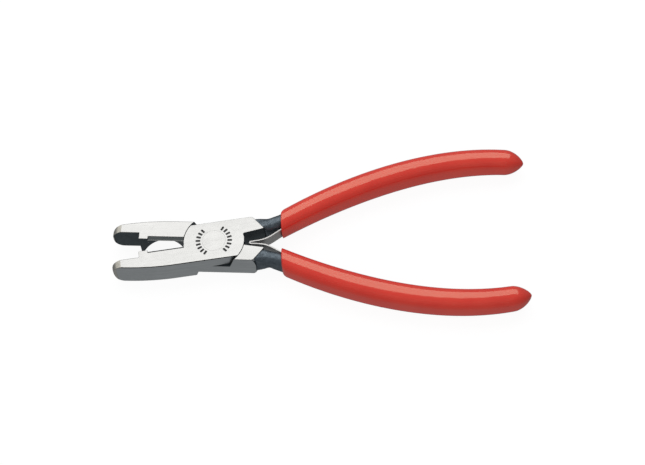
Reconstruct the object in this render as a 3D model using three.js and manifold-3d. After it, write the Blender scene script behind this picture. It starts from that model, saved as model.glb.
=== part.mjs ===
// Crimping pliers for wire connectors, with a small wire cutter behind the crimping jaws.
// Two crossed halves turn on a flush rivet in a half-lap joint, a hairpin leaf spring opens them,
// and each handle is a steel tang in a plastic sleeve.
//
// Frame: millimetres, +Z up. The origin is the centre of the rivet's lower face, X runs from the jaws
// to the handles, and the pliers rest partly open, each half turned REST_ANGLE from the closed position.
//
// Each half is drawn in its own closed position, pivot at the origin and z = 0 at mid-thickness, with the
// jaw on -Y, the handle on +Y and its joint plate as the upper layer.

import * as THREE from 'three';
import { mergeVertices } from 'three/addons/utils/BufferGeometryUtils.js';
import Module from 'manifold-3d';

const wasm = await Module();
wasm.setup();

// ---------- driving dimensions ----------
const THICKNESS = 9.6;
const HALF_THICKNESS = THICKNESS / 2;
const REST_ANGLE = THREE.MathUtils.degToRad(5.57);
const FIT_GAP = 0.3;

// half-lap joint; the upper plate is the thicker by twice LAP_SHIFT, and the round rims lose
// RIM_TAPER of their radius from the outer faces down to the lap
const HALF_WIDTH = 8.05;
const PLATE_RADIUS = 11.15;
const SHOULDER_RADIUS = PLATE_RADIUS + FIT_GAP;
const LAP_SHIFT = 0.3;
const RIM_TAPER = 1.3;
const RIVET_RADIUS = 3.5;
const RIVET_HEAD_RADIUS = 4.3;
const RIVET_HEAD_DEPTH = 1.0;
const RIVET_CLEARANCE = 0.08;

// jaws, as distances ahead of the pivot and away from the line on which the jaws meet
const JAW_LENGTH = 39.0;
const OUTER_CURVE_START = 15.5;
const OUTER_CURVE_RADIUS = 100;
const CREST_OFFSET = 0.05;
const CRIMP_OFFSET = 2.6;
const TOOTH_FRONT = 28.4;
const TOOTH_BACK = 25.0;
const NOSE_BEVEL_START = 35.4;
const NOSE_BEVEL_LENGTH = 3.3;
const NOSE_BEVEL_DROP = 2.9;
const NOSE_BEVEL_CROWN = 0.9;
const NOSE_TOE = 1.8;
const NOSE_UNDER_LENGTH = 3.9;
const NOSE_UNDER_HEIGHT = 4.3;
const NOSE_INNER_ROUND = 0.9;
const NOSE_OUTER_ROUND = 1.5;

// cutter: blades in the upper face over a round recess
const RECESS_CENTRE = { ahead: 19.6, across: 2.72 };
const RECESS_RADIUS = 8.35;
const BLADE_DEPTH = 3.0;
const EDGE_DEPTH = 1.2;
const BEVEL_WIDTH = 1.2;
const BLADE_UNDERCUT = 1.3;

// handle block and tang
const BLOCK_END = 19.2;
const BLOCK_INNER = 2.35;
const BLOCK_CORNER = 15.3;
const BLOCK_ROUND = 0.8;
const BLOCK_ROOT = 1.55;
const BLOCK_FILLET = 1.3;
const RIM_END = 0.95;
const TANG_OFFSET = 0.5;
const TANG_CORNER = 2;
const TANG_SIDE_GAP = 0.7;
const TANG_FACE_GAP = 0.3;
const TANG_START = 0.005;
const TANG_END = 0.9;

// sleeves
const SLEEVE_START = new THREE.Vector2(25.7, 5.6);
const SLEEVE_TIP = new THREE.Vector2(118.7, 17.2);
const SLEEVE_WIDTH = 8.85;
const SLEEVE_HEIGHT = 10.4;
const FULLEST_AT = 0.4;
const MOUTH_NARROWING = 4.5;
const TIP_NARROWING = 2.2;
const HEIGHT_LOSS = 2.5;
const SLEEVE_WALL = 0.85;
const SLEEVE_CORNER = 3.5;
const CAVITY_CORNER = 1.6;
const MOUTH_ROUND = 0.5;
const MOUTH_SLANT_FADE = 0.15;
const TIP_LENGTH = 7.3;
const TIP_FULLNESS = 0.65;
const CAVITY_END = 0.94;

// opening spring
const LEAF_THICKNESS = 0.5;
const LEAF_WIDTH = 5.0;
const LEAF_DROP = 0.5;
const NOSE_CENTRE_X = 13.55;
const NOSE_BEND_RADIUS = 0.4;
const LEAF_OFFSET = 2.65;
const LEAF_TUCK = 12;
const PIN_RADIUS = 0.9;
const PIN_LENGTH = 3;
const PIN_TUCK = 8;

const ARC_SEGMENTS = 14;
const ROUND_SEGMENTS = 48;
const CORNER_STEPS = 4;
// how far a cutting body stands out of what it cuts
const CUT_MARGIN = 1;

// ---------- solids ----------
function toSolid(geometry) {
  const bare = geometry.clone();
  bare.deleteAttribute('normal');
  bare.deleteAttribute('uv');
  const merged = mergeVertices(bare, 1e-4);
  return new wasm.Manifold(new wasm.Mesh({
    numProp: 3,
    vertProperties: new Float32Array(merged.attributes.position.array),
    triVerts: new Uint32Array(merged.index.array),
  }));
}

function toGeometry(body) {
  const mesh = body.getMesh();
  const geometry = new THREE.BufferGeometry();
  geometry.setAttribute('position', new THREE.BufferAttribute(new Float32Array(mesh.vertProperties), 3));
  geometry.setIndex(new THREE.BufferAttribute(new Uint32Array(mesh.triVerts), 1));
  geometry.computeVertexNormals();
  return geometry;
}

// a plan outline (x, y) raised from z = low to z = high
function plate(shape, low, high) {
  const geometry = new THREE.ExtrudeGeometry(shape, {
    depth: high - low, bevelEnabled: false, curveSegments: ARC_SEGMENTS,
  });
  return geometry.translate(0, 0, low);
}

// a side outline (x, z) stretched across from y = near to y = far
function sideBlock(shape, near, far) {
  const geometry = new THREE.ExtrudeGeometry(shape, {
    depth: far - near, bevelEnabled: false, curveSegments: ARC_SEGMENTS,
  });
  return geometry.rotateX(Math.PI / 2).translate(0, far, 0);
}

function upright(radius, low, high, segments = ROUND_SEGMENTS) {
  const geometry = new THREE.CylinderGeometry(radius, radius, high - low, segments);
  return geometry.rotateX(Math.PI / 2).translate(0, 0, (low + high) / 2);
}

// a skin through rings of equal point counts, closed over its first and last ring
function loft(rings) {
  const count = rings[0].length;
  const centre = (ring) => ring.reduce((sum, p) => sum.add(p), new THREE.Vector3()).divideScalar(count);
  const points = [...rings.flat(), centre(rings[0]), centre(rings.at(-1))];
  const index = [];
  for (let r = 0; r < rings.length - 1; r += 1) {
    for (let i = 0; i < count; i += 1) {
      const a = r * count + i;
      const b = r * count + ((i + 1) % count);
      index.push(a, b, b + count, a, b + count, a + count);
    }
  }
  const last = (rings.length - 1) * count;
  for (let i = 0; i < count; i += 1) {
    const next = (i + 1) % count;
    index.push(next, i, rings.length * count);
    index.push(last + i, last + next, rings.length * count + 1);
  }
  const geometry = new THREE.BufferGeometry().setFromPoints(points);
  geometry.setIndex(index);
  geometry.computeVertexNormals();
  return geometry;
}

// ---------- handle line ----------
const handleLine = new THREE.CubicBezierCurve(
  SLEEVE_START,
  new THREE.Vector2(53.6, 17.8),
  new THREE.Vector2(88.9, 26.6),
  SLEEVE_TIP,
);
const handleLength = handleLine.getLength();
const MOUTH_SLANT = Math.tan(handleLine.getTangentAt(0).angle() + REST_ANGLE);

// a point beside the handle line: u along it, offset outwards from it
function besideHandle(u, offset) {
  const centre = handleLine.getPointAt(u);
  const tangent = handleLine.getTangentAt(u);
  return new THREE.Vector2(centre.x - tangent.y * offset, centre.y + tangent.x * offset);
}

// a rounded rectangle as (across, up) offsets, starting on its outer side
function roundedSection(width, height, radius) {
  const r = Math.min(radius, 0.49 * width, 0.49 * height);
  const offsets = [];
  for (const [sideX, sideY, start] of [[1, 1, 0], [-1, 1, 90], [-1, -1, 180], [1, -1, 270]]) {
    for (let i = 0; i <= CORNER_STEPS; i += 1) {
      const angle = THREE.MathUtils.degToRad(start + (90 * i) / CORNER_STEPS);
      offsets.push([
        sideX * (width / 2 - r) + r * Math.cos(angle),
        sideY * (height / 2 - r) + r * Math.sin(angle),
      ]);
    }
  }
  return offsets;
}

// the section standing square to a plan line, or leaning along it by slant
function ring(centre, tangent, section, slant = 0) {
  return section.map(([across, up]) => new THREE.Vector3(
    centre.x - tangent.y * across + tangent.x * across * slant,
    centre.y + tangent.x * across + tangent.y * across * slant,
    up,
  ));
}

function sleeveWidth(u) {
  const narrowing = u < FULLEST_AT ? MOUTH_NARROWING : TIP_NARROWING;
  return SLEEVE_WIDTH - narrowing * (u - FULLEST_AT) ** 2;
}

function sleeveHeight(u) {
  return SLEEVE_HEIGHT - HEIGHT_LOSS * (u - FULLEST_AT) ** 2;
}

// how far the sleeve has closed in towards its pointed tip
function tipScale(u) {
  const left = (1 - u) * handleLength;
  return left >= TIP_LENGTH ? 1 : Math.sin((Math.PI / 2) * (left / TIP_LENGTH)) ** TIP_FULLNESS;
}

// the mouth is cut square to the pliers' length, and the slant fades out behind it
function mouthSlant(u) {
  return MOUTH_SLANT * Math.max(0, 1 - u / MOUTH_SLANT_FADE);
}

function sleeveRing(u, inset, corner) {
  const scale = tipScale(u);
  const section = roundedSection(
    sleeveWidth(u) * scale - 2 * inset,
    sleeveHeight(u) * scale - 2 * inset,
    corner * scale,
  );
  return ring(handleLine.getPointAt(u), handleLine.getTangentAt(u), section, mouthSlant(u));
}

// ---------- sleeve ----------
function sleeveGeometry() {
  const bodySteps = 20;
  const tipSteps = 7;
  const bluntStep = 0.15;
  const tipStart = 1 - TIP_LENGTH / handleLength;
  const rings = [];
  for (let i = bodySteps; i >= 0; i -= 1) {
    rings.push(sleeveRing((CAVITY_END * i) / bodySteps, SLEEVE_WALL, CAVITY_CORNER));
  }
  rings.push(sleeveRing(0, MOUTH_ROUND, SLEEVE_CORNER - MOUTH_ROUND));
  for (let i = 0; i <= bodySteps; i += 1) {
    const u = Math.max(MOUTH_ROUND / handleLength, (tipStart * i) / bodySteps);
    rings.push(sleeveRing(u, 0, SLEEVE_CORNER));
  }
  for (let i = 1; i <= tipSteps; i += 1) {
    const left = TIP_LENGTH * (1 - i / (tipSteps + bluntStep)) ** 1.5;
    rings.push(sleeveRing(1 - left / handleLength, 0, SLEEVE_CORNER));
  }
  return loft(rings);
}

// ---------- half ----------
// a line up to a corner of the outline, and the corner rounded towards the next one
function roundCorner(shape, corner, next, reach) {
  const before = shape.currentPoint.clone().sub(corner).setLength(reach).add(corner);
  const after = next.clone().sub(corner).setLength(reach).add(corner);
  shape.lineTo(before.x, before.y);
  shape.quadraticCurveTo(corner.x, corner.y, after.x, after.y);
}

function jawOutline(shape) {
  const curveCentreY = OUTER_CURVE_RADIUS - HALF_WIDTH;
  const curveEnd = JAW_LENGTH - NOSE_OUTER_ROUND;
  const curveEndAngle = Math.PI + Math.acos((curveEnd - OUTER_CURVE_START) / OUTER_CURVE_RADIUS);
  const curveEndY = curveCentreY + OUTER_CURVE_RADIUS * Math.sin(curveEndAngle);
  const noseInner = new THREE.Vector2(-JAW_LENGTH, -CRIMP_OFFSET);
  const noseOuter = new THREE.Vector2(-JAW_LENGTH, curveEndY + 0.4 * NOSE_OUTER_ROUND);
  shape.moveTo(-SHOULDER_RADIUS, -CREST_OFFSET);
  shape.lineTo(-TOOTH_FRONT, -CREST_OFFSET);
  shape.lineTo(-TOOTH_FRONT, -CRIMP_OFFSET);
  roundCorner(shape, noseInner, noseOuter, NOSE_INNER_ROUND);
  shape.quadraticCurveTo(noseOuter.x, noseOuter.y, -curveEnd, curveEndY);
  shape.absarc(-OUTER_CURVE_START, curveCentreY, OUTER_CURVE_RADIUS, curveEndAngle, 1.5 * Math.PI, false);
}

function halfOutline() {
  const cornerAngle = Math.asin(HALF_WIDTH / SHOULDER_RADIUS);
  const rimAngle = Math.asin(RIM_END / PLATE_RADIUS);
  const blockInner = new THREE.Vector2(BLOCK_END, BLOCK_INNER);
  const blockOuter = new THREE.Vector2(BLOCK_CORNER, HALF_WIDTH);
  const plateCorner = new THREE.Vector2(-SHOULDER_RADIUS * Math.cos(cornerAngle), HALF_WIDTH);
  const shape = new THREE.Shape();
  jawOutline(shape);
  shape.absarc(0, 0, SHOULDER_RADIUS, -cornerAngle, rimAngle / 2, false);
  shape.lineTo(PLATE_RADIUS * Math.cos(rimAngle), RIM_END);
  shape.quadraticCurveTo(PLATE_RADIUS, BLOCK_ROOT, PLATE_RADIUS + BLOCK_FILLET, BLOCK_ROOT);
  roundCorner(shape, blockInner, blockOuter, BLOCK_ROUND);
  roundCorner(shape, blockOuter, plateCorner, BLOCK_ROUND);
  shape.absarc(0, 0, SHOULDER_RADIUS, Math.PI - cornerAngle, Math.PI, false);
  return shape;
}

// the half's side view: bevelled above at the nose, rounded below it
function sideOutline() {
  const bevelEnd = NOSE_BEVEL_START + NOSE_BEVEL_LENGTH;
  const bevelFoot = HALF_THICKNESS - NOSE_BEVEL_DROP;
  const crown = new THREE.Vector2(NOSE_BEVEL_CROWN - bevelEnd, HALF_THICKNESS - NOSE_BEVEL_CROWN);
  const underTop = NOSE_UNDER_HEIGHT - HALF_THICKNESS;
  const shape = new THREE.Shape();
  shape.moveTo(BLOCK_END + CUT_MARGIN, HALF_THICKNESS);
  shape.lineTo(-NOSE_BEVEL_START, HALF_THICKNESS);
  shape.quadraticCurveTo(crown.x, crown.y, -bevelEnd, bevelFoot);
  shape.quadraticCurveTo(-JAW_LENGTH, bevelFoot - 0.5 * NOSE_TOE, -JAW_LENGTH, bevelFoot - NOSE_TOE);
  shape.lineTo(-JAW_LENGTH, underTop);
  shape.absellipse(
    NOSE_UNDER_LENGTH - JAW_LENGTH, underTop,
    NOSE_UNDER_LENGTH, NOSE_UNDER_HEIGHT, Math.PI, 1.5 * Math.PI, false, 0,
  );
  shape.lineTo(BLOCK_END + CUT_MARGIN, -HALF_THICKNESS);
  return shape;
}

// the bevel over the cutting edge and the relief under it, as one channel along the jaws' meeting line
function bladeCut() {
  const shape = new THREE.Shape();
  const edge = HALF_THICKNESS - EDGE_DEPTH;
  const roof = HALF_THICKNESS - BLADE_DEPTH;
  const clear = HALF_THICKNESS + CUT_MARGIN;
  const bevelSlope = (BEVEL_WIDTH - CREST_OFFSET) / EDGE_DEPTH;
  shape.moveTo(CUT_MARGIN, clear);
  shape.lineTo(-BEVEL_WIDTH - CUT_MARGIN * bevelSlope, clear);
  shape.lineTo(-CREST_OFFSET, edge);
  shape.lineTo(-BLADE_UNDERCUT, roof);
  shape.lineTo(-BLADE_UNDERCUT, -clear);
  shape.lineTo(CUT_MARGIN, -clear);
  const geometry = new THREE.ExtrudeGeometry(shape, {
    depth: TOOTH_BACK - SHOULDER_RADIUS, bevelEnabled: false,
  });
  // drawn as (y, z) and stretched along x
  geometry.applyMatrix4(new THREE.Matrix4().makeBasis(
    new THREE.Vector3(0, 1, 0), new THREE.Vector3(0, 0, 1), new THREE.Vector3(1, 0, 0),
  ));
  return toSolid(geometry.translate(-TOOTH_BACK, 0, 0));
}

function recessCut() {
  const roof = HALF_THICKNESS - BLADE_DEPTH;
  const drum = upright(RECESS_RADIUS, -HALF_THICKNESS - CUT_MARGIN, roof, 2 * ROUND_SEGMENTS);
  return toSolid(drum.translate(-RECESS_CENTRE.ahead, RECESS_CENTRE.across, 0));
}

// from the forged neck, flush in the block, to the end inside the sleeve
function tangGeometry() {
  const neck = [
    { at: [13.6, 5.0], width: 4.4, height: 8.0 },
    { at: [15.6, 5.1], width: 4.8, height: 8.8 },
    { at: [17.4, 5.12], width: 5.65, height: 8.5 },
    { at: [19.2, 5.0], width: 5.15, height: 7.9 },
    { at: [20.9, 5.15], width: 5.15, height: 7.6 },
    { at: [22.9, 5.5], width: 5.3, height: 7.5 },
  ];
  const tangSteps = 16;
  const stations = neck.map(({ at, width, height }) => (
    { centre: new THREE.Vector2(...at), width, height }
  ));
  for (let i = 0; i <= tangSteps; i += 1) {
    const u = TANG_START + ((TANG_END - TANG_START) * i) / tangSteps;
    stations.push({
      centre: besideHandle(u, TANG_OFFSET),
      width: sleeveWidth(u) - 2 * (SLEEVE_WALL + TANG_SIDE_GAP),
      height: sleeveHeight(u) - 2 * (SLEEVE_WALL + TANG_FACE_GAP),
    });
  }
  const line = new THREE.SplineCurve(stations.map((station) => station.centre));
  return loft(stations.map((station, i) => ring(
    station.centre,
    line.getTangent(i / (stations.length - 1)),
    roundedSection(station.width, station.height, TANG_CORNER),
  )));
}

// a pin from just outside the leaf's inner face into the tang; lead starts a hole ahead of the pin
function pinGeometry(radius, length, lead = 0) {
  const spot = besideHandle(PIN_TUCK / handleLength, -LEAF_OFFSET - LEAF_THICKNESS / 2);
  const tangent = handleLine.getTangentAt(PIN_TUCK / handleLength);
  const geometry = new THREE.CylinderGeometry(radius, radius, length + lead, 24);
  geometry.translate(0, (length - lead) / 2, 0);
  return geometry.rotateZ(tangent.angle()).translate(spot.x, spot.y, 0);
}

// a rivet countersunk in both faces; overshoot carries its heads on past them
function rivetGeometry(clearance = 0, overshoot = 0) {
  const flare = (RIVET_HEAD_RADIUS - RIVET_RADIUS) / RIVET_HEAD_DEPTH;
  const reach = HALF_THICKNESS + overshoot;
  const neck = HALF_THICKNESS - RIVET_HEAD_DEPTH;
  const shaft = RIVET_RADIUS + clearance;
  const head = RIVET_HEAD_RADIUS + clearance + overshoot * flare;
  const profile = [[0, -reach], [head, -reach], [shaft, -neck], [shaft, neck], [head, reach], [0, reach]];
  const points = profile.map(([x, y]) => new THREE.Vector2(x, y));
  return new THREE.LatheGeometry(points, ROUND_SEGMENTS).rotateX(Math.PI / 2);
}

// a tapered disc, radius wide at z = face and RIM_TAPER narrower at z = lap, carried on past the face
function taperedDisc(radius, face, lap) {
  const depth = Math.abs(face - lap);
  const height = depth + CUT_MARGIN;
  const wide = radius + (RIM_TAPER * CUT_MARGIN) / depth;
  const narrow = radius - RIM_TAPER;
  const outward = Math.sign(face - lap);
  const geometry = new THREE.CylinderGeometry(wide, narrow, height, 2 * ROUND_SEGMENTS);
  geometry.rotateX(outward * (Math.PI / 2));
  return toSolid(geometry.translate(0, 0, (face + outward * CUT_MARGIN + lap) / 2));
}

// all but the tapered plate on the two sides where its rim is free
function rimCut(lap) {
  const reach = PLATE_RADIUS + CUT_MARGIN;
  const side = HALF_WIDTH + CUT_MARGIN;
  const clear = HALF_THICKNESS + 0.5 * CUT_MARGIN;
  const box = (x, near, far) => {
    const corners = [[0, near], [x, near], [x, far], [0, far]].map((corner) => new THREE.Vector2(...corner));
    return toSolid(plate(new THREE.Shape(corners), -clear, clear));
  };
  return box(reach, -side, RIM_END)
    .add(box(-reach, -CREST_OFFSET, side))
    .subtract(taperedDisc(PLATE_RADIUS, HALF_THICKNESS, lap));
}

// bladeSide is +1 where the blade lies in the upper face of the half, -1 where it lies in the lower one
function halfGeometry(bladeSide) {
  const jawFeatures = (body) => (bladeSide > 0 ? body : body.scale([1, 1, -1]));
  const side = toSolid(sideBlock(sideOutline(), -2 * HALF_WIDTH, 2 * HALF_WIDTH));
  const lapTop = FIT_GAP / 2 - LAP_SHIFT * bladeSide;
  const pinHole = pinGeometry(PIN_RADIUS + RIVET_CLEARANCE, PIN_LENGTH + FIT_GAP);
  return toGeometry(
    toSolid(plate(halfOutline(), -HALF_THICKNESS, HALF_THICKNESS))
      .intersect(jawFeatures(side))
      .subtract(jawFeatures(bladeCut()))
      .subtract(jawFeatures(recessCut()))
      .add(toSolid(tangGeometry()))
      .subtract(taperedDisc(SHOULDER_RADIUS, -HALF_THICKNESS, lapTop))
      .subtract(rimCut(lapTop))
      .subtract(toSolid(rivetGeometry(RIVET_CLEARANCE, CUT_MARGIN)))
      .subtract(toSolid(pinHole)),
  );
}

// ---------- spring ----------
function toRest(point) {
  return point.clone().rotateAround(new THREE.Vector2(), REST_ANGLE);
}

function springGeometry() {
  const leg = new THREE.SplineCurve([
    new THREE.Vector2(NOSE_CENTRE_X, NOSE_BEND_RADIUS),
    new THREE.Vector2(15.5, 0.62),
    new THREE.Vector2(17.2, 0.88),
    new THREE.Vector2(18.9, 1.3),
    new THREE.Vector2(20.7, 2.15),
    new THREE.Vector2(22.6, 3.4),
    new THREE.Vector2(24.5, 4.68),
    ...[0, 0.5, 1].map((part) => toRest(besideHandle((part * LEAF_TUCK) / handleLength, -LEAF_OFFSET))),
  ]);
  const steps = 24;
  const bendSteps = 13;
  const offsetLeg = (offset) => Array.from({ length: steps + 1 }, (_, i) => {
    const centre = leg.getPoint(i / steps);
    const tangent = leg.getTangent(i / steps);
    return new THREE.Vector2(centre.x - tangent.y * offset, centre.y + tangent.x * offset);
  });
  const bend = (radius) => Array.from({ length: bendSteps }, (_, i) => {
    const angle = Math.PI / 2 + (Math.PI * (i + 0.5)) / bendSteps;
    return new THREE.Vector2(NOSE_CENTRE_X + radius * Math.cos(angle), radius * Math.sin(angle));
  });
  const flip = (points) => points.map((p) => new THREE.Vector2(p.x, -p.y)).reverse();
  // round one face of the leaf, from the upper leg's end over the nose to the lower leg's end
  const face = (offset) => {
    const upper = offsetLeg(offset).reverse();
    return [...upper, ...bend(NOSE_BEND_RADIUS + offset), ...flip(upper)];
  };
  const outline = [...face(LEAF_THICKNESS / 2), ...face(-LEAF_THICKNESS / 2).reverse()];
  const leafLow = -LEAF_WIDTH / 2 - LEAF_DROP;
  const leaf = toSolid(plate(new THREE.Shape(outline), leafLow, leafLow + LEAF_WIDTH));
  const upperHole = pinGeometry(PIN_RADIUS + RIVET_CLEARANCE, PIN_LENGTH, CUT_MARGIN).rotateZ(REST_ANGLE);
  const lowerHole = upperHole.clone().rotateX(Math.PI);
  return toGeometry(leaf.subtract(toSolid(upperHole)).subtract(toSolid(lowerHole)));
}

// ---------- finishes ----------
function finish(color, roughness, metalness) {
  return new THREE.MeshStandardMaterial({ color, roughness, metalness });
}

const toolSteel = () => finish(0xb4b6b3, 0.32, 0.9);
const springSteel = () => finish(0x8c8f92, 0.35, 0.95);
const redVinyl = () => finish(0xd2322d, 0.28, 0);

function part(name, geometry, material) {
  const mesh = new THREE.Mesh(geometry, material);
  mesh.name = name;
  return mesh;
}

// ---------- assembly ----------
const upperHandleSide = new THREE.Group();
upperHandleSide.rotation.z = REST_ANGLE;
upperHandleSide.add(
  part('lower_jaw_half', halfGeometry(1), toolSteel()),
  part('joint_rivet', rivetGeometry(0), toolSteel()),
  part('upper_handle_sleeve', sleeveGeometry(), redVinyl()),
  part('upper_spring_pin', pinGeometry(PIN_RADIUS, PIN_LENGTH), springSteel()),
);

const lowerHandleSide = new THREE.Group();
lowerHandleSide.rotation.set(Math.PI, 0, -REST_ANGLE, 'ZYX');
lowerHandleSide.add(
  part('upper_jaw_half', halfGeometry(-1), toolSteel()),
  part('lower_handle_sleeve', sleeveGeometry(), redVinyl()),
  part('lower_spring_pin', pinGeometry(PIN_RADIUS, PIN_LENGTH), springSteel()),
);

const pliers = new THREE.Group();
pliers.position.z = HALF_THICKNESS;
pliers.add(upperHandleSide, lowerHandleSide, part('opening_spring', springGeometry(), springSteel()));

export default pliers;
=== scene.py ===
"""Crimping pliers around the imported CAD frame: two forged halves, rivet, leaf spring and handle sleeves.

The steel halves are worked on in millimetres in their own closed frames, as the CAD source draws them:
the pivot is the origin, z = 0 is mid-thickness, the jaw lies on -Y and the handle on +Y. Everything ends up
in metres, in the row frame.
"""
import math

import bmesh
import bpy
from mathutils import Matrix, Vector, noise


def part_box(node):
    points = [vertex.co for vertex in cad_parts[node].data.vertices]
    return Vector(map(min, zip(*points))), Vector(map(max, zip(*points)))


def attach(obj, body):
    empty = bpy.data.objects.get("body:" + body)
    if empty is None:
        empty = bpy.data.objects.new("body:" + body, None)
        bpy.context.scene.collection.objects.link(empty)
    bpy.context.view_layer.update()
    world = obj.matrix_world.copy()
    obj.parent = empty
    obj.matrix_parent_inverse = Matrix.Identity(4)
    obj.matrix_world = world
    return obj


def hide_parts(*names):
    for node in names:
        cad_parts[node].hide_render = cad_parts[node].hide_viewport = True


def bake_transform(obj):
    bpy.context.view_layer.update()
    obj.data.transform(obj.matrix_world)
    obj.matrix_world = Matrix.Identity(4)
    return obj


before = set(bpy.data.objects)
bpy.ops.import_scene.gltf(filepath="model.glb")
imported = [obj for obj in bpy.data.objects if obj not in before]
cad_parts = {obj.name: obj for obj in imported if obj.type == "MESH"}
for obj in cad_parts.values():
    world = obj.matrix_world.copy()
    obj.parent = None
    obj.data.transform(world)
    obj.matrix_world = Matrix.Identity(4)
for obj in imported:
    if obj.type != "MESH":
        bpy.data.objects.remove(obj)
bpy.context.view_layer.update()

# ---------- driving dimensions, in millimetres ----------
MM = 0.001
REST_ANGLE = math.radians(5.57)
THICKNESS = (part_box("joint_rivet")[1].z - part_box("joint_rivet")[0].z) / MM
HALF_THICKNESS = THICKNESS / 2

# the joint: its round plate, the shoulders round it, and how the plate's rim is let out
PLATE_RADIUS = 11.15
SHOULDER_RADIUS = 11.45
BELOW_PLATE = -0.6
RIM_GROWTH = 0.17
RIM_TAPER = 1.3
RIM_FADE = 0.9
BORE_REACH = 5.1
RIVET_GROWTH = 0.06

# the block's slanted end, from its inner to its outer corner
BLOCK_INNER = Vector((19.2, 2.35))
BLOCK_OUTER = Vector((15.3, 8.05))
NECK_END_X = 27.2
NECK_WAIST_X = 21.4
NECK_WAIST_REACH = 4.5
NECK_LOSS = {"lower_jaw_half": 0.3, "upper_jaw_half": 1.5}
BULGE = 0.9
BULGE_HEIGHT = 8.8

# where the finishes of a half change, in its closed frame
NOSE_BEVEL_START = 35.4
TOOTH_FRONT = 28.4
TOOTH_BACK = 25.0
BLADE_REACH = 2.2
GROUND_FACE_Z = 1.5
OUTER_SIDE_Y = 5.0
BLOCK_SIDE_Y = 7.0
JAW_SIDE_Y = 6.5
JAW_SIDE_END_X = 7.0

# how far a face's normal leans for the face to count as level, sloped, facing sideways or facing forward
LEVEL = 0.97
SLOPED = 0.25
SIDEWAYS = 0.5
FORWARD = 0.3

# how broadly the edges are broken: one width along each smooth run, other widths only past its corners
EDGE_WIDTH = 0.12
JAW_EDGE_WIDTH = 0.22
BLADE_EDGE_WIDTH = 0.10
CUTTING_EDGE_WIDTH = 0.32
CUTTING_EDGE_DEPTH = 1.2
# how deep below the ground faces the strips of painted shade along the edges reach
SHADED_EDGE_DEPTH = 0.3
HARD_ANGLE = math.radians(28)
SMOOTH_ANGLE = math.radians(32)
FLAT_ANGLE = math.radians(0.6)

# ring of marks stamped round the rivet
MARK_RADIUS = 5.95
MARK_LENGTH = 1.8
MARK_WIDTH = 0.85
MARK_DEPTH = 0.14
MARK_ARCS = ((128.0, 232.0, 8), (-52.0, 52.0, 8))

# the sleeves' section, and how it narrows away from its fullest place
SLEEVE_WIDTH = 8.85
SLEEVE_HEIGHT = 10.4
FULLEST_AT = 0.4
MOUTH_NARROWING = 4.5
TIP_NARROWING = 2.2
HEIGHT_LOSS = 2.5
SLEEVE_WALL = 0.85
SLEEVE_CORNER = 3.5
SLEEVE_CORNER_STEPS = 10
LIP_SHORT = 0.5
LIP_LONG = 2.6
MOUTH_SLANT_FADE = 0.15
TIP_LENGTH = 7.3
TIP_FULLNESS = 0.65
INSIDE_END = 0.94

# rings of the sleeve's skin: inside, round the lip, along the outside and round the tip
INSIDE_RINGS = 24
LIP_RINGS = 12
OUTSIDE_RINGS = 64
TIP_RINGS = 24

# camera, as fitted to the photo: angles in degrees, distances in millimetres
CAMERA_ANGLES = {"azimuth": 6.581, "elevation": 57.895, "roll": -9.005}
CAMERA_DISTANCE = 1101
CAMERA_LENS = 164.6
AIM_HEIGHT = 4.875
AIM_RIGHT = 40.04
AIM_UP = 5.45

# light: the point that the softboxes face, in metres, and the way along which the world's grey changes
LIGHT_AIM = Vector((0.04, 0, 0))
WORLD_AXIS = (0, 0.6, 0.8)

# darkest and lightest grinding lines of the flat faces
GROUND_TONES = ((0.30, 0.299, 0.291), (0.49, 0.488, 0.476))

# material slots of the steel halves: EDGE is the painted shade along the long outer edges, and also marks
# new bevels until shade_half
GROUND, SIDE, DARK, FORGED, STAMPED, NOSE, BLADE, HONED_GLINT, EDGE = range(9)

SIDES = {
    "lower_jaw_half": ("lower_jaw_side", Matrix.Rotation(REST_ANGLE, 4, "Z")),
    "upper_jaw_half": (
        "upper_jaw_side",
        Matrix.Rotation(-REST_ANGLE, 4, "Z") @ Matrix.Rotation(math.pi, 4, "X"),
    ),
}


# ---------- stage, camera and light ----------
def direction(azimuth, elevation):
    """The way out from the pliers at two angles in degrees. Azimuth 0 is -Y and 90 is +X."""
    a = math.radians(azimuth)
    e = math.radians(elevation)
    return Vector((math.sin(a) * math.cos(e), -math.cos(a) * math.cos(e), math.sin(e)))


def look_matrix(azimuth, elevation, roll):
    """Camera axes as columns: right, up, back."""
    a = math.radians(azimuth)
    r = math.radians(roll)
    back = direction(azimuth, elevation)
    right = Vector((math.cos(a), math.sin(a), 0))
    up = back.cross(right)
    right, up = right * math.cos(r) + up * math.sin(r), up * math.cos(r) - right * math.sin(r)
    return Matrix((right, up, back)).transposed()


def make_camera():
    axes = look_matrix(**CAMERA_ANGLES)
    right, up, back = axes.transposed()
    aim = Vector((0, 0, AIM_HEIGHT)) + AIM_RIGHT * right + AIM_UP * up
    camera = bpy.data.objects.new("camera", bpy.data.cameras.new("camera"))
    camera.data.sensor_width = 36
    camera.data.lens = CAMERA_LENS
    camera.data.clip_start = 0.05
    camera.data.clip_end = 20
    camera.matrix_world = Matrix.Translation((aim + CAMERA_DISTANCE * back) * MM) @ axes.to_4x4()
    bpy.context.scene.collection.objects.link(camera)
    bpy.context.scene.camera = camera


def softbox(name, azimuth, elevation, distance, size, radiance, colour=(1, 1, 1), mirrored=True):
    """A rectangular light that faces the pliers, with its distance and size in metres."""
    way = direction(azimuth, elevation)
    data = bpy.data.lights.new(name, "AREA")
    data.shape = "RECTANGLE"
    data.size, data.size_y = size
    data.energy = radiance * math.pi * size[0] * size[1]
    data.color = colour
    light = bpy.data.objects.new(name, data)
    light.location = LIGHT_AIM + distance * way
    light.rotation_euler = way.to_track_quat("Z", "Y").to_euler()
    light.visible_glossy = mirrored
    bpy.context.scene.collection.objects.link(light)


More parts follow.
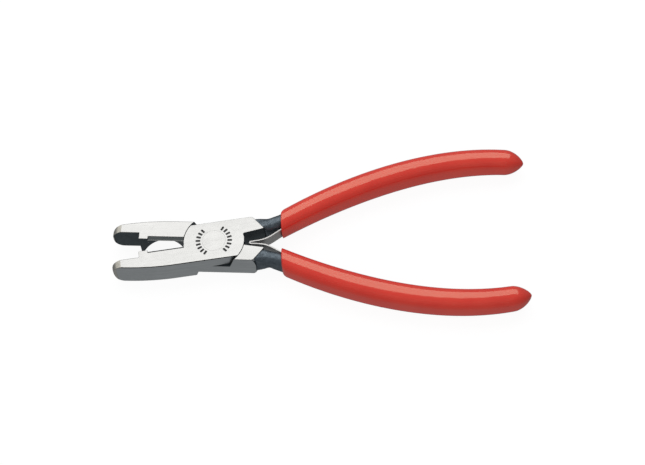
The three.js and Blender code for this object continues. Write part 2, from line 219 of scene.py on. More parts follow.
def make_world():
    """Soft grey surroundings, with no picture in them."""
    world = bpy.data.worlds.new("studio")
    world.use_nodes = True
    tree = world.node_tree
    tree.nodes.clear()
    way = node(tree, "TexCoord").outputs["Generated"]
    behind = node(tree, "VectorMath", {"operation": "DOT_PRODUCT"}, Vector=way)
    behind.inputs[1].default_value = WORLD_AXIS
    colour = ramp(tree, remap(tree, behind.outputs["Value"], -1, 1, 0, 1), [
        (0.00, (0.34, 0.35, 0.355)),
        (0.25, (0.24, 0.245, 0.25)),
        (0.50, (0.22, 0.225, 0.23)),
        (1.00, (0.42, 0.42, 0.42)),
    ])
    background = node(tree, "Background", Color=colour, Strength=1.0)
    output = node(tree, "OutputWorld")
    tree.links.new(background.outputs["Background"], output.inputs["Surface"])
    bpy.context.scene.world = world


def make_floor():
    """A plain pale sheet under the pliers."""
    lowest = min(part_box(name)[0].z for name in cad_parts)
    mesh = bpy.data.meshes.new("floor")
    reach = 6.0
    corners = [(-reach, -reach), (reach, -reach), (reach, reach), (-reach, reach)]
    mesh.from_pydata([(x, y, lowest) for x, y in corners], [], [(0, 1, 2, 3)])
    floor = bpy.data.objects.new("floor", mesh)
    bpy.context.scene.collection.objects.link(floor)
    floor.data.materials.append(floor_material())
    floor.visible_glossy = False
    floor.visible_diffuse = False


# ---------- node helpers ----------
def plug(tree, socket, value):
    """Links the socket to value where that is another node's output, or else sets it."""
    if isinstance(value, bpy.types.NodeSocket):
        tree.links.new(value, socket)
    else:
        socket.default_value = value


def feed(tree, made, **sockets):
    """Fills a node's sockets, given by name, with _ for a space, as a value or as the output to link."""
    for key, value in sockets.items():
        plug(tree, made.inputs[key.replace("_", " ")], value)


def node(tree, kind, settings=None, **sockets):
    """A shader node, with its sockets given as in feed."""
    made = tree.nodes.new("ShaderNode" + kind)
    for key, value in (settings or {}).items():
        setattr(made, key, value)
    feed(tree, made, **sockets)
    return made


def ramp(tree, value, stops):
    """A colour ramp over value, with its stops as (position, colour)."""
    made = node(tree, "ValToRGB", Fac=value)
    elements = made.color_ramp.elements
    while len(elements) < len(stops):
        elements.new(0.5)
    for element, (position, colour) in zip(elements, stops):
        element.position = position
        element.color = (*colour, 1)
    return made.outputs["Color"]


def remap(tree, value, low, high, to_low, to_high):
    limits = {"From_Min": low, "From_Max": high, "To_Min": to_low, "To_Max": to_high}
    return node(tree, "MapRange", Value=value, **limits).outputs["Result"]


def coordinates(tree, turn=0.0, stretch=(1, 1, 1)):
    """Millimetres along a piece turned by turn about Z, each axis scaled by stretch."""
    where = node(tree, "TexCoord").outputs["Object"]
    turned = node(tree, "Mapping", Vector=where, Rotation=(0, 0, -turn), Scale=(1 / MM,) * 3)
    return node(tree, "Mapping", Vector=turned.outputs["Vector"], Scale=stretch).outputs["Vector"]


def noise_value(tree, vector, scale, detail=2.0, roughness=0.5):
    made = node(tree, "TexNoise", Vector=vector, Scale=scale, Detail=detail, Roughness=roughness)
    return made.outputs["Fac"]


def math_value(tree, operation, first, second):
    made = node(tree, "Math", {"operation": operation})
    plug(tree, made.inputs[0], first)
    plug(tree, made.inputs[1], second)
    return made.outputs["Value"]


def mix_colour(tree, factor, first, second):
    """Goes from the first colour to the second as factor goes from 0 to 1."""
    made = node(tree, "Mix", {"data_type": "RGBA"})
    plug(tree, made.inputs[0], factor)
    for index, colour in ((6, first), (7, second)):
        plug(tree, made.inputs[index], colour if isinstance(colour, bpy.types.NodeSocket) else (*colour, 1))
    return made.outputs[2]


def bump(tree, height, distance, under=None):
    """Relief of a height in millimetres, on top of the relief under it."""
    made = node(tree, "Bump", Height=height, Distance=distance * MM, Strength=1.0)
    if under is not None:
        tree.links.new(under, made.inputs["Normal"])
    return made.outputs["Normal"]


def new_material(name):
    material = bpy.data.materials.new(name)
    material.use_nodes = True
    tree = material.node_tree
    tree.nodes.clear()
    shader = node(tree, "BsdfPrincipled")
    output = node(tree, "OutputMaterial")
    tree.links.new(shader.outputs["BSDF"], output.inputs["Surface"])
    return material, tree, shader


# ---------- materials ----------
def floor_material():
    material, tree, shader = new_material("floor_paper")
    grain = noise_value(tree, coordinates(tree), 0.6, 3)
    feed(tree, shader, Base_Color=ramp(tree, grain, [(0.0, (0.09, 0.09, 0.09)), (1.0, (0.11, 0.11, 0.11))]),
         Roughness=0.9, Specular_IOR_Level=0.0, Emission_Color=(1, 1, 1, 1), Emission_Strength=0.93)
    return material


def brushed_steel(name, turn, dark, light, roughness):
    """Ground steel whose grinding lines run along X turned by turn."""
    material, tree, shader = new_material(name)
    plain = coordinates(tree, turn)
    fine = noise_value(tree, coordinates(tree, turn, (0.02, 1.0, 1.0)), 6.0, 3, 0.6)
    coarse = noise_value(tree, coordinates(tree, turn, (0.02, 1.0, 1.0)), 1.5, 2)
    cloud = noise_value(tree, plain, 0.16, 3)
    scratch = noise_value(tree, coordinates(tree, turn + 0.22, (0.02, 1.0, 1.0)), 6.0, 1)
    scratch = remap(tree, scratch, 0.70, 0.76, 0, 1)
    smudge = noise_value(tree, plain, 0.45, 4, 0.6)
    fine = math_value(tree, "MULTIPLY", fine, 0.6)
    coarse = math_value(tree, "MULTIPLY", coarse, 0.4)
    streaks = math_value(tree, "ADD", fine, coarse)
    colour = mix_colour(tree, streaks, dark, light)
    colour = mix_colour(tree, remap(tree, cloud, 0.3, 0.7, 0.0, 0.12), colour, dark)
    colour = mix_colour(tree, math_value(tree, "MULTIPLY", scratch, 0.1), colour, light)
    rough = remap(tree, streaks, 0.35, 0.65, roughness - 0.03, roughness + 0.03)
    rough = math_value(tree, "ADD", rough, remap(tree, smudge, 0.35, 0.7, -0.01, 0.03))
    normal = bump(tree, streaks, 0.015)
    normal = bump(tree, scratch, 0.006, under=normal)
    feed(tree, shader, Base_Color=colour, Metallic=1.0, Roughness=rough, Normal=normal, Anisotropic=0.35)
    return material


def honed_glint_steel(turn):
    """The honed strip on the blades' cutting edges, made bright as a painted highlight."""
    material, tree, shader = new_material("honed_edge_painted_glint")
    lines = noise_value(tree, coordinates(tree, turn, (0.3, 1.0, 1.0)), 4.0, 3, 0.6)
    colour = ramp(tree, lines, [(0.3, (0.42, 0.425, 0.415)), (0.7, (0.78, 0.78, 0.76))])
    rough = remap(tree, lines, 0.3, 0.7, 0.30, 0.42)
    feed(tree, shader, Base_Color=colour, Metallic=0.55, Roughness=rough, Normal=bump(tree, lines, 0.01))
    return material


def dark_steel(turn):
    """Heat-blackened inner faces, darkened further with painted shade where they look into the gaps between
    the halves, with faint machining lines.
    """
    material, tree, shader = new_material("blackened_steel_with_painted_shade")
    lines = noise_value(tree, coordinates(tree, turn, (0.10, 1.0, 1.0)), 5.0, 3, 0.6)
    cloud = noise_value(tree, coordinates(tree, turn), 0.5, 4, 0.6)
    colour = ramp(tree, cloud, [(0.3, (0.042, 0.056, 0.064)), (0.7, (0.082, 0.103, 0.115))])
    colour = mix_colour(tree, remap(tree, lines, 0.55, 0.75, 0.0, 0.5), colour, (0.12, 0.135, 0.14))
    rough = remap(tree, cloud, 0.3, 0.7, 0.38, 0.52)
    feed(tree, shader, Base_Color=colour, Metallic=0.7, Roughness=rough, Normal=bump(tree, lines, 0.02))
    return material


def forged_steel():
    """Blue-grey forging scale, speckled and slightly pitted."""
    material, tree, shader = new_material("forged_scale")
    plain = coordinates(tree)
    cloud = noise_value(tree, plain, 0.45, 4, 0.6)
    speck = noise_value(tree, plain, 1.6, 5, 0.75)
    pits = noise_value(tree, plain, 1.1, 3, 0.6)
    colour = ramp(tree, cloud, [(0.25, (0.050, 0.066, 0.080)), (0.75, (0.145, 0.175, 0.200))])
    colour = mix_colour(tree, remap(tree, speck, 0.60, 0.72, 0.0, 0.55), colour, (0.30, 0.34, 0.37))
    colour = mix_colour(tree, remap(tree, speck, 0.40, 0.28, 0.0, 0.6), colour, (0.015, 0.018, 0.022))
    rough = remap(tree, speck, 0.3, 0.7, 0.30, 0.52)
    normal = bump(tree, pits, 0.12)
    normal = bump(tree, speck, 0.04, under=normal)
    feed(tree, shader, Base_Color=colour, Metallic=0.75, Roughness=rough, Normal=normal)
    return material


def stamped_steel():
    """The darkened bottoms of the stamped marks."""
    material, tree, shader = new_material("stamped_marks")
    grain = noise_value(tree, coordinates(tree), 5.0, 3)
    colour = ramp(tree, grain, [(0.3, (0.020, 0.021, 0.022)), (0.7, (0.055, 0.056, 0.055))])
    feed(tree, shader, Base_Color=colour, Metallic=0.4, Roughness=0.55, Normal=bump(tree, grain, 0.03))
    return material


def spring_steel():
    """Rolled strip: dark and streaked along its length."""
    material, tree, shader = new_material("rolled_spring_strip")
    streak = noise_value(tree, coordinates(tree, 0, (0.25, 0.25, 3.0)), 2.2, 4, 0.65)
    speck = noise_value(tree, coordinates(tree), 3.0, 3, 0.6)
    colour = ramp(tree, streak, [(0.3, (0.28, 0.275, 0.265)), (0.7, (0.62, 0.61, 0.595))])
    colour = mix_colour(tree, remap(tree, speck, 0.6, 0.8, 0.0, 0.6), colour, (0.09, 0.088, 0.085))
    rough = remap(tree, streak, 0.3, 0.7, 0.30, 0.45)
    feed(tree, shader, Base_Color=colour, Metallic=1.0, Roughness=rough, Normal=bump(tree, streak, 0.02))
    return material


def sleeve_plastic(turn):
    """Dipped red plastic: glossy, very slightly wavy, with faint scuffs."""
    material, tree, shader = new_material("dipped_red_plastic")
    plain = coordinates(tree, turn)
    cloud = noise_value(tree, plain, 0.09, 3)
    peel = noise_value(tree, plain, 1.3, 2)
    wave = noise_value(tree, plain, 0.22, 1)
    scuff = noise_value(tree, coordinates(tree, turn + 0.5, (0.16, 1.0, 1.0)), 1.9, 4, 0.7)
    scuff = remap(tree, scuff, 0.62, 0.75, 0, 1)
    colour = ramp(tree, cloud, [(0.3, (0.760, 0.034, 0.026)), (0.7, (0.810, 0.044, 0.031))])
    colour = mix_colour(tree, math_value(tree, "MULTIPLY", scuff, 0.10), colour, (0.85, 0.28, 0.22))
    rough = remap(tree, cloud, 0.3, 0.7, 0.11, 0.15)
    rough = math_value(tree, "ADD", rough, math_value(tree, "MULTIPLY", scuff, 0.12))
    normal = bump(tree, wave, 0.10)
    normal = bump(tree, peel, 0.008, under=normal)
    feed(tree, shader, Base_Color=colour, Roughness=rough, Normal=normal, IOR=1.5,
         Specular_IOR_Level=0.85, Specular_Tint=(0.85, 1.0, 0.75, 1))
    return material


# ---------- mesh helpers ----------
def new_object(name, bm):
    mesh = bpy.data.meshes.new(name)
    bm.to_mesh(mesh)
    bm.free()
    made = bpy.data.objects.new(name, mesh)
    bpy.context.scene.collection.objects.link(made)
    return made


def cad_copy(name, to_local):
    """The CAD node's solid as a bmesh, in local millimetres."""
    bm = bmesh.new()
    bm.from_mesh(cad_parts[name].data)
    bm.transform(to_local)
    bmesh.ops.remove_doubles(bm, verts=bm.verts, dist=0.001)
    return bm


def merge_flats(bm):
    """Makes whole faces out of the triangles that lie in one plane."""
    bmesh.ops.dissolve_limit(bm, angle_limit=FLAT_ANGLE, verts=bm.verts, edges=bm.edges)


def settle(piece):
    """Applies the piece's modifiers to its mesh."""
    graph = bpy.context.evaluated_depsgraph_get()
    mesh = bpy.data.meshes.new_from_object(piece.evaluated_get(graph))
    piece.modifiers.clear()
    old = piece.data
    piece.data = mesh
    mesh.name = old.name
    bpy.data.meshes.remove(old)


def combine(piece, other, operation):
    boolean = piece.modifiers.new("boolean", "BOOLEAN")
    boolean.operation = operation
    boolean.object = other
    boolean.solver = "EXACT"
    settle(piece)
    bpy.data.objects.remove(other)


def prism(name, outline, low, high):
    """An upright prism over a plan outline."""
    bm = bmesh.new()
    bottom = [bm.verts.new((x, y, low)) for x, y in outline]
    top = [bm.verts.new((x, y, high)) for x, y in outline]
    bm.faces.new(bottom[::-1])
    bm.faces.new(top)
    for i in range(len(outline)):
        j = (i + 1) % len(outline)
        bm.faces.new((bottom[i], bottom[j], top[j], top[i]))
    return new_object(name, bm)


def loft(bm, rings):
    """A skin of quads through rings of equal counts, closed over both ends."""
    loops = [[bm.verts.new(point) for point in ring] for ring in rings]
    for first, second in zip(loops, loops[1:]):
        for i in range(len(first)):
            j = (i + 1) % len(first)
            bm.faces.new((first[i], first[j], second[j], second[i]))
    bm.faces.new(loops[0][::-1])
    bm.faces.new(loops[-1])


def rounded_rectangle(width, height, radius, corner_steps):
    points = []
    for side_x, side_y, start in ((1, 1, 0), (-1, 1, 90), (-1, -1, 180), (1, -1, 270)):
        for i in range(corner_steps + 1):
            angle = math.radians(start + 90 * i / corner_steps)
            points.append((side_x * (width / 2 - radius) + radius * math.cos(angle),
                           side_y * (height / 2 - radius) + radius * math.sin(angle)))
    return points


def dress(piece, materials):
    """Gives the piece its materials and keeps each face's slot."""
    slots = [polygon.material_index for polygon in piece.data.polygons]
    piece.data.materials.clear()
    for material in materials:
        piece.data.materials.append(material)
    piece.data.polygons.foreach_set("material_index", slots)


def finish_piece(piece, to_row, node_name, body, materials):
    """Moves a worked piece into the row frame and hands it to the CAD frame."""
    piece.data.transform(to_row)
    dress(piece, materials)
    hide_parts(node_name)
    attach(piece, body)


# ---------- forged halves ----------
def neck_rings(loss):
    """Sections of the forged neck, from the block into the sleeve: centre, direction across it, width,
    height, corner radius and lift. At its waist the neck loses height on the face that is up in the closed
    frame."""
    wall = (BLOCK_INNER + BLOCK_OUTER) / 2
    slant = math.degrees(math.atan2(BLOCK_OUTER.y - BLOCK_INNER.y, BLOCK_OUTER.x - BLOCK_INNER.x))
    stations = [
        (wall + Vector((-0.9, 0.0)), slant, 5.10, 9.00, 1.1),
        (wall, slant, 5.20, 9.00, 1.1),
        (wall + Vector((0.45, -0.02)), slant - 3, 5.45, 8.95, 1.3),
        (Vector((18.7, 5.13)), 113, 5.55, 8.60, 1.6),
        (Vector((20.0, 5.10)), 103, 5.35, 8.05, 2.0),
        (Vector((21.4, 5.22)), 99, 5.22, 7.75, 2.1),
        (Vector((23.1, 5.50)), 103, 5.20, 7.65, 2.1),
        (Vector((25.6, 6.10)), 112, 5.05, 7.70, 2.1),
        (Vector((28.1, 7.10)), 113, 4.80, 7.40, 2.0),
    ]
    rings = []
    for centre, angle, width, height, radius in stations:
        waist = loss * max(0.0, 1 - abs(centre.x - NECK_WAIST_X) / NECK_WAIST_REACH)
        rings.append((centre.x, centre.y, angle, width, height - waist, radius, -waist / 2))
    return rings


def smooth_through(keys, steps):
    """Catmull-Rom values between the keys."""
    out = []
    for i in range(len(keys) - 1):
        before = keys[max(i - 1, 0)]
        after = keys[min(i + 2, len(keys) - 1)]
        for s in range(steps):
            t = s / steps
            row = []
            for p0, p1, p2, p3 in zip(before, keys[i], keys[i + 1], after):
                row.append(0.5 * (2 * p1 + (p2 - p0) * t + (2 * p0 - 5 * p1 + 4 * p2 - p3) * t * t
                                  + (3 * p1 - p0 - 3 * p2 + p3) * t ** 3))
            out.append(row)
    out.append(list(keys[-1]))
    return out


def make_neck(loss):
    """The forged neck between the ground block and the part of the tang inside the sleeve."""
    rings = []
    for x, y, angle, width, height, radius, lift in smooth_through(neck_rings(loss), 6):
        a = math.radians(angle)
        ring = []
        for across, up in rounded_rectangle(width, height, radius, 8):
            point = Vector((x + math.cos(a) * across, y + math.sin(a) * across, up + lift))
            swell = noise.noise(point * 0.55) * 0.10 + noise.noise(point * 1.6) * 0.03
            fade = min(1.0, max(0.0, (x - 18.0) / 2.0))
            ring.append(point + Vector((0, math.copysign(swell, across), math.copysign(swell, up))) * fade)
        rings.append(ring)
    bm = bmesh.new()
    loft(bm, rings)
    bmesh.ops.recalc_face_normals(bm, faces=bm.faces)
    for face in bm.faces:
        face.material_index = FORGED
    return new_object("neck", bm)


def make_bulge():
    """The block's end bows out at mid-height, where its outer side runs into the neck."""
    steps = 12
    outline = [(BLOCK_OUTER.x - 1.5, BULGE_HEIGHT / 2), (BLOCK_OUTER.x - 1.5, -BULGE_HEIGHT / 2)]
    for i in range(steps + 1):
        share = 2 * i / steps - 1
        outline.append((BLOCK_OUTER.x - 0.1 + BULGE * (1 - share * share), share * BULGE_HEIGHT / 2))
    bm = bmesh.new()
    loft(bm, [[Vector((x, y, z)) for x, z in outline] for y in (BLOCK_OUTER.y - 2.5, BLOCK_OUTER.y)])
    bmesh.ops.recalc_face_normals(bm, faces=bm.faces)
    bm.normal_update()
    for face in bm.faces:
        face.material_index = FORGED if face.normal.x > 0.5 else GROUND
    return new_object("bulge", bm)


def neck_space():
    """What is cut out of the CAD half for the neck: from the block's slanted end into the sleeve."""
    along = (BLOCK_OUTER - BLOCK_INNER).normalized()
    wall = (BLOCK_INNER + BLOCK_OUTER) / 2 - Vector((along.y, -along.x)) * 0.02
    outline = [wall - along * 7, Vector((NECK_END_X, -3)), Vector((NECK_END_X, 16)), wall + along * 9]
    return prism("neck_space", [(p.x, p.y) for p in outline], -HALF_THICKNESS - 1, HALF_THICKNESS + 1)


def stamp_marks():
    """Short radial bars, as one cutter."""
    bm = bmesh.new()
    for start, end, count in MARK_ARCS:
        for i in range(count):
            angle = math.radians(start + (end - start) * i / (count - 1))
            turn = Matrix.Rotation(angle, 4, "Z")
            outline = rounded_rectangle(MARK_LENGTH, MARK_WIDTH, 0.18, 2)
            loft(bm, [
                [turn @ Vector((MARK_RADIUS + x, y, z)) for x, y in outline]
                for z in (HALF_THICKNESS - MARK_DEPTH, HALF_THICKNESS + 1)
            ])
    bmesh.ops.recalc_face_normals(bm, faces=bm.faces)
    for face in bm.faces:
        face.material_index = STAMPED
    return new_object("marks", bm)


def beside_cutter(point):
    """Whether a point is on the blade's stretch of the jaw, near the line where the jaws close."""
    return -TOOTH_BACK < point.x < -SHOULDER_RADIUS and point.y > -BLADE_REACH


def near_rim(point, slack):
    """Whether a point is within slack of the shoulders' radius."""
    return abs(math.hypot(point.x, point.y) - SHOULDER_RADIUS) < slack


def face_depth(point):
    """How far a point lies below the nearer of the two ground faces."""
    return HALF_THICKNESS - abs(point.z)


def half_slot(face):
    """Which finish a face of the half has, from its place in the closed frame and the way it faces. The DARK
    slot also holds painted shade, the NOSE slot a painted reflection and the BLADE slot painted shade.
    """
    centre = face.calc_center_median()
    normal = face.normal
    if face.material_index in (FORGED, STAMPED):
        return face.material_index
    if centre.x > NECK_END_X - 1:
        return FORGED
    if centre.x < -NOSE_BEVEL_START and normal.x < -FORWARD:
        return NOSE
    if abs(normal.z) > LEVEL and abs(centre.z) > GROUND_FACE_Z:
        return GROUND
    if beside_cutter(centre) and abs(normal.z) > SLOPED:
        return BLADE
    outside = normal.y * (1 if centre.x > 0 else -1) > SIDEWAYS and abs(centre.y) > OUTER_SIDE_Y
    jaw_side = normal.y < -SIDEWAYS and centre.y < -OUTER_SIDE_Y
    block_side = normal.y > SIDEWAYS and centre.y > BLOCK_SIDE_Y
    return SIDE if outside or jaw_side or block_side else DARK


def bevel_width(edge):
    """How broadly an edge of the half is broken, in millimetres."""
    if len(edge.link_faces) != 2 or edge.calc_face_angle(0) < HARD_ANGLE:
        return 0
    slots = {face.material_index for face in edge.link_faces}
    middle = (edge.verts[0].co + edge.verts[1].co) / 2
    if slots & {STAMPED, FORGED} or math.hypot(middle.x, middle.y) < BORE_REACH:
        return 0
    if BLADE in slots:
        on_cutting_edge = abs(face_depth(middle) - CUTTING_EDGE_DEPTH) < 0.3
        return CUTTING_EDGE_WIDTH if on_cutting_edge else BLADE_EDGE_WIDTH
    on_jaw_side = middle.y < -JAW_SIDE_Y and middle.x < JAW_SIDE_END_X and not near_rim(middle, 0.6)
    return JAW_EDGE_WIDTH if on_jaw_side or middle.x < -TOOTH_FRONT else EDGE_WIDTH


def grow_rim(bm):
    """Lets out the plate's round rim, so that a thinner line is left round it than the CAD's clearance.

    The growth fades to nothing where the rim runs into the block, on the handle's side."""
    slack = 0.02
    for vert in bm.verts:
        x, y, z = vert.co
        reach = math.hypot(x, y)
        if z < BELOW_PLATE or not PLATE_RADIUS - RIM_TAPER - slack < reach < PLATE_RADIUS + slack:
            continue
        faces_out = any(face.normal.x * x + face.normal.y * y > 0.8 * reach for face in vert.link_faces)
        fade = min(1.0, max(0.0, (RIM_FADE - y) / RIM_FADE)) if x > 0 else 1.0
        if faces_out and fade > 0:
            grown = reach + RIM_GROWTH * fade
            vert.co.x = math.copysign(math.sqrt(grown * grown - y * y), x)


def break_edges(piece):
    """Bevels every hard edge by its own width. The new faces go in the EDGE slot."""
    bm = bmesh.new()
    bm.from_mesh(piece.data)
    bm.normal_update()
    weights = bm.edges.layers.float.new("bevel_weight_edge")
    for edge in bm.edges:
        edge[weights] = bevel_width(edge) / CUTTING_EDGE_WIDTH
    bm.to_mesh(piece.data)
    bm.free()
    bevel = piece.modifiers.new("edges", "BEVEL")
    bevel.limit_method = "WEIGHT"
    bevel.offset_type = "OFFSET"
    bevel.width = CUTTING_EDGE_WIDTH
    bevel.segments = 3
    bevel.use_clamp_overlap = False
    bevel.miter_outer = "MITER_ARC"
    bevel.material = EDGE
    settle(piece)


def strip_slot(face):
    """The finish of a broken edge: a honed strip made bright with a painted highlight on the cutting edges,
    near-black painted shade along the long outer edges, and None where it takes after the face beside it."""
    centre = face.calc_center_median()
    on_blade = beside_cutter(centre) and centre.y < 0.2
    if on_blade and abs(face_depth(centre) - CUTTING_EDGE_DEPTH) < 0.5:
        return HONED_GLINT
    # painted shade along the long outer edges and the blades' top edges
    shaded_edge = on_blade or abs(centre.y) > OUTER_SIDE_Y and not near_rim(centre, 0.5)
    if shaded_edge and face_depth(centre) < SHADED_EDGE_DEPTH and centre.x > -NOSE_BEVEL_START:
        return EDGE
    return None


def spread_slots(open_strips):
    """Gives each open strip the finish of the face beside it that faces most nearly the same way."""
    while open_strips:
        found = {}
        for face in open_strips:
            touching = [other for edge in face.edges for other in edge.link_faces]
            beside = [other for other in touching if other not in open_strips]
            if beside:
                found[face] = max(beside, key=lambda other: other.normal.dot(face.normal)).material_index
        if not found:
            break
        for face, slot in found.items():
            face.material_index = slot
        open_strips = [face for face in open_strips if face not in found]


def shade_half(piece):
    """Smooths the round stretches, keeps the flats flat and gives each broken edge a finish, on some edges a
    painted highlight or painted shade.
    """
    bm = bmesh.new()
    bm.from_mesh(piece.data)
    bmesh.ops.dissolve_degenerate(bm, edges=bm.edges, dist=0.004)
    bm.normal_update()
    for face in bm.faces:
        face.smooth = True
    for edge in bm.edges:
        slots = {face.material_index for face in edge.link_faces}
        edge.smooth = len(slots) == 1 and edge.calc_face_angle(0) < SMOOTH_ANGLE
    open_strips = []
    for face in [face for face in bm.faces if face.material_index == EDGE]:
        slot = strip_slot(face)
        if slot is None:
            open_strips.append(face)
        else:
            face.material_index = slot
    spread_slots(open_strips)
    bm.to_mesh(piece.data)
    bm.free()


def soften(piece, width, segments):
    """Bevels the hard edges of a small piece and smooths it."""
    bevel = piece.modifiers.new("edges", "BEVEL")
    bevel.width = width
    bevel.segments = segments
    bevel.angle_limit = math.radians(40)
    settle(piece)
    smooth_shading(piece)


def smooth_shading(piece):
    """Shades a piece smoothly between its hard edges."""
    bm = bmesh.new()
    bm.from_mesh(piece.data)
    for face in bm.faces:
        face.smooth = True
    for edge in bm.edges:
        edge.smooth = len(edge.link_faces) != 2 or edge.calc_face_angle(0) < SMOOTH_ANGLE
    bm.to_mesh(piece.data)
    bm.free()
    weighted = piece.modifiers.new("normals", "WEIGHTED_NORMAL")
    weighted.keep_sharp = True
    weighted.weight = 60


def make_half(name):
    """One forged half: its neck, block end and marks, its broken edges and its finishes."""
    body, turn = SIDES[name]
    to_row = Matrix.Scale(MM, 4) @ Matrix.Translation((0, 0, HALF_THICKNESS)) @ turn
    bm = cad_copy(name, to_row.inverted())
    grow_rim(bm)
    merge_flats(bm)
    half = new_object(name.replace("_half", "_forging"), bm)
    combine(half, neck_space(), "DIFFERENCE")
    combine(half, make_neck(NECK_LOSS[name]), "UNION")
    combine(half, make_bulge(), "UNION")
    if name == "lower_jaw_half":
        combine(half, stamp_marks(), "DIFFERENCE")
    bm = bmesh.new()
    bm.from_mesh(half.data)
    bm.normal_update()
    for face in bm.faces:
        face.material_index = half_slot(face)
    bm.to_mesh(half.data)
    bm.free()
    for _ in range(EDGE + 1 - len(half.data.materials)):
        half.data.materials.append(None)
    break_edges(half)
    shade_half(half)
    angle = REST_ANGLE if name == "lower_jaw_half" else -REST_ANGLE
    materials = [
        brushed_steel("ground_steel", angle, *GROUND_TONES, 0.24),
        brushed_steel("ground_side", angle, (0.34, 0.355, 0.36), (0.68, 0.70, 0.71), 0.36),
        # inner faces, lap faces and hollows: blackened steel with painted shade
        dark_steel(angle),
        forged_steel(),
        stamped_steel(),
        # nose bevels and the nose's front: a warm grey copy of the ground steel, a painted reflection of
        # warm light
        brushed_steel("nose_bevel_painted_reflection", angle, (0.50, 0.485, 0.44), (0.62, 0.605, 0.56), 0.34),
        # blade bevels: a darker copy of the ground steel, painted shade where they mirror dim surroundings
        brushed_steel("blade_bevel_painted_shade", angle, (0.22, 0.25, 0.247), (0.44, 0.47, 0.465), 0.28),
        honed_glint_steel(angle),
        # long outer edges: near-black strips of painted shade
        brushed_steel("painted_shade_edge", angle, (0.012, 0.010, 0.009), (0.045, 0.038, 0.033), 0.45),
    ]
    finish_piece(half, to_row, name, body, materials)
    return half


# ---------- rivet ----------
def make_rivet():
    """The flush rivet, let out to fill the clearance in its bore."""
    to_local = Matrix.Translation((0, 0, -HALF_THICKNESS)) @ Matrix.Scale(1 / MM, 4)
    bm = cad_copy("joint_rivet", to_local)
    for vert in bm.verts:
        reach = vert.co.xy.length
        if reach > 1:
            vert.co.xy *= (reach + RIVET_GROWTH) / reach
    merge_flats(bm)
    rivet = new_object("flush_rivet", bm)
    soften(rivet, width=0.02, segments=1)
    steel = brushed_steel("rivet_face", REST_ANGLE, *GROUND_TONES, 0.24)
    finish_piece(rivet, to_local.inverted(), "joint_rivet", "lower_jaw_side", [steel])


# ---------- sleeves ----------
class HandleLine:
    """The line down the middle of a handle, in the half's closed frame, measured by its share of length."""

    controls = (Vector((25.7, 5.6)), Vector((53.6, 17.8)), Vector((88.9, 26.6)), Vector((118.7, 17.2)))
    samples = 400

    def __init__(self):
        self.points = [self.bezier(i / self.samples) for i in range(self.samples + 1)]
        self.lengths = [0.0]
        for before, after in zip(self.points, self.points[1:]):
            self.lengths.append(self.lengths[-1] + (after - before).length)
        self.length = self.lengths[-1]

    def bezier(self, t):
        a, b, c, d = self.controls
        s = 1 - t
        return a * s ** 3 + 3 * b * t * s * s + 3 * c * t * t * s + d * t ** 3

    def at(self, u):
        """The point at share u of the length, and the direction there."""
        target = u * self.length
        i = max(1, next((k for k, length in enumerate(self.lengths) if length >= target), self.samples))
        step = self.points[i] - self.points[i - 1]
        share = (target - self.lengths[i - 1]) / step.length
        return self.points[i - 1] + step * share, step.normalized()


def sleeve_size(u):
    """Width and height of the sleeve's section."""
    narrowing = MOUTH_NARROWING if u < FULLEST_AT else TIP_NARROWING
    away = (u - FULLEST_AT) ** 2
    return SLEEVE_WIDTH - narrowing * away, SLEEVE_HEIGHT - HEIGHT_LOSS * away


def tip_scale(left):
    """How far the sleeve has closed in at a distance left before its tip."""
    return 1 if left >= TIP_LENGTH else math.sin(math.pi / 2 * left / TIP_LENGTH) ** TIP_FULLNESS


def sleeve_ring(line, u, inset, corner):
    """The sleeve's section at share u of the handle line, as points, and how far out each lies (-1 to 1)."""
    centre, tangent = line.at(u)
    scale = tip_scale((1 - u) * line.length)
    width, height = sleeve_size(u)
    width = width * scale - 2 * inset
    height = height * scale - 2 * inset
    start = line.at(0)[1]
    slant = math.tan(math.atan2(start.y, start.x) + REST_ANGLE) * max(0, 1 - u / MOUTH_SLANT_FADE)
    radius = min(corner * scale, 0.49 * width)
    ring = []
    outward = []
    for across, up in rounded_rectangle(width, height, radius, SLEEVE_CORNER_STEPS):
        ring.append(Vector((
            centre.x - tangent.y * across + tangent.x * across * slant,
            centre.y + tangent.x * across + tangent.y * across * slant,
            up,
        )))
        outward.append(2 * across / width)
    return ring, outward


def lip_ring(line, along):
    """The rounded lip at a distance along from the mouth: long on the sleeve's outer side, else short."""
    u = along / line.length
    outer, outward = sleeve_ring(line, u, 0, SLEEVE_CORNER)
    inner, _ = sleeve_ring(line, u, SLEEVE_WALL, SLEEVE_CORNER - SLEEVE_WALL)
    ring = []
    for low, high, out in zip(inner, outer, outward):
        reach = LIP_SHORT + (LIP_LONG - LIP_SHORT) * max(0.0, out) ** 3
        closed = 1 - min(1.0, along / reach)
        ring.append(low.lerp(high, math.sqrt(max(0.0, 1 - closed * closed))))
    return ring


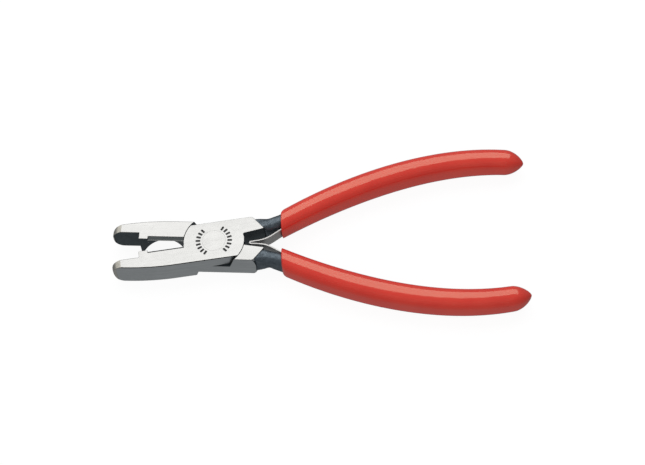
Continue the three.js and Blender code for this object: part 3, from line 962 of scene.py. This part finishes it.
def make_sleeve(name, half_name):
    """One dipped sleeve, skinned from its inside, round the lip and along the outside to its tip."""
    body, turn = SIDES[half_name]
    line = HandleLine()
    tip_start = 1 - TIP_LENGTH / line.length
    rings = []
    for i in range(INSIDE_RINGS, 0, -1):
        u = INSIDE_END * i / INSIDE_RINGS
        rings.append(sleeve_ring(line, u, SLEEVE_WALL, SLEEVE_CORNER - SLEEVE_WALL)[0])
    for i in range(LIP_RINGS + 1):
        rings.append(lip_ring(line, LIP_LONG * (i / LIP_RINGS) ** 1.8))
    lip_end = LIP_LONG / line.length
    for i in range(1, OUTSIDE_RINGS + 1):
        u = lip_end + (tip_start - lip_end) * i / OUTSIDE_RINGS
        rings.append(sleeve_ring(line, u, 0, SLEEVE_CORNER)[0])
    for i in range(1, TIP_RINGS + 1):
        left = TIP_LENGTH * (1 - i / (TIP_RINGS + 0.2)) ** 1.5
        rings.append(sleeve_ring(line, 1 - left / line.length, 0, SLEEVE_CORNER)[0])
    bm = bmesh.new()
    loft(bm, rings)
    bmesh.ops.recalc_face_normals(bm, faces=bm.faces)
    for face in bm.faces:
        face.smooth = True
    sleeve = new_object(name.replace("sleeve", "grip"), bm)
    to_row = Matrix.Scale(MM, 4) @ Matrix.Translation((0, 0, HALF_THICKNESS)) @ turn
    side = 1 if half_name == "lower_jaw_half" else -1
    finish_piece(sleeve, to_row, name, body, [sleeve_plastic(0.25 * side)])


# ---------- spring and pins ----------
def make_spring():
    """The leaf spring between the two halves."""
    bm = cad_copy("opening_spring", Matrix.Scale(1 / MM, 4))
    merge_flats(bm)
    spring = new_object("opening_leaf_spring", bm)
    soften(spring, width=0.06, segments=2)
    spring.data.transform(Matrix.Scale(MM, 4))
    dress(spring, [spring_steel()])
    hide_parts("opening_spring")
    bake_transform(spring)


def dress_pins():
    """The pins are hidden under the sleeves and stay as the CAD has them."""
    material = spring_steel()
    for name in ("upper_spring_pin", "lower_spring_pin"):
        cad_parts[name].material_slots[0].material = material


make_world()
make_camera()
make_floor()
softbox("back_box", 187, 56, distance=1.2, size=(1.9, 0.70), radiance=1.9)
softbox("left_box", 237, 16, distance=1.2, size=(0.8, 0.5), radiance=0.75, colour=(1, 0.97, 0.9))
softbox("fill_box", -10, 40, distance=1.3, size=(1.2, 1.2), radiance=1.4, mirrored=False)
for half_name in SIDES:
    make_half(half_name)
make_rivet()
make_sleeve("upper_handle_sleeve", "lower_jaw_half")
make_sleeve("lower_handle_sleeve", "upper_jaw_half")
make_spring()
dress_pins()

scene = bpy.context.scene
scene.view_settings.view_transform = "Standard"
scene.view_settings.look = "None"
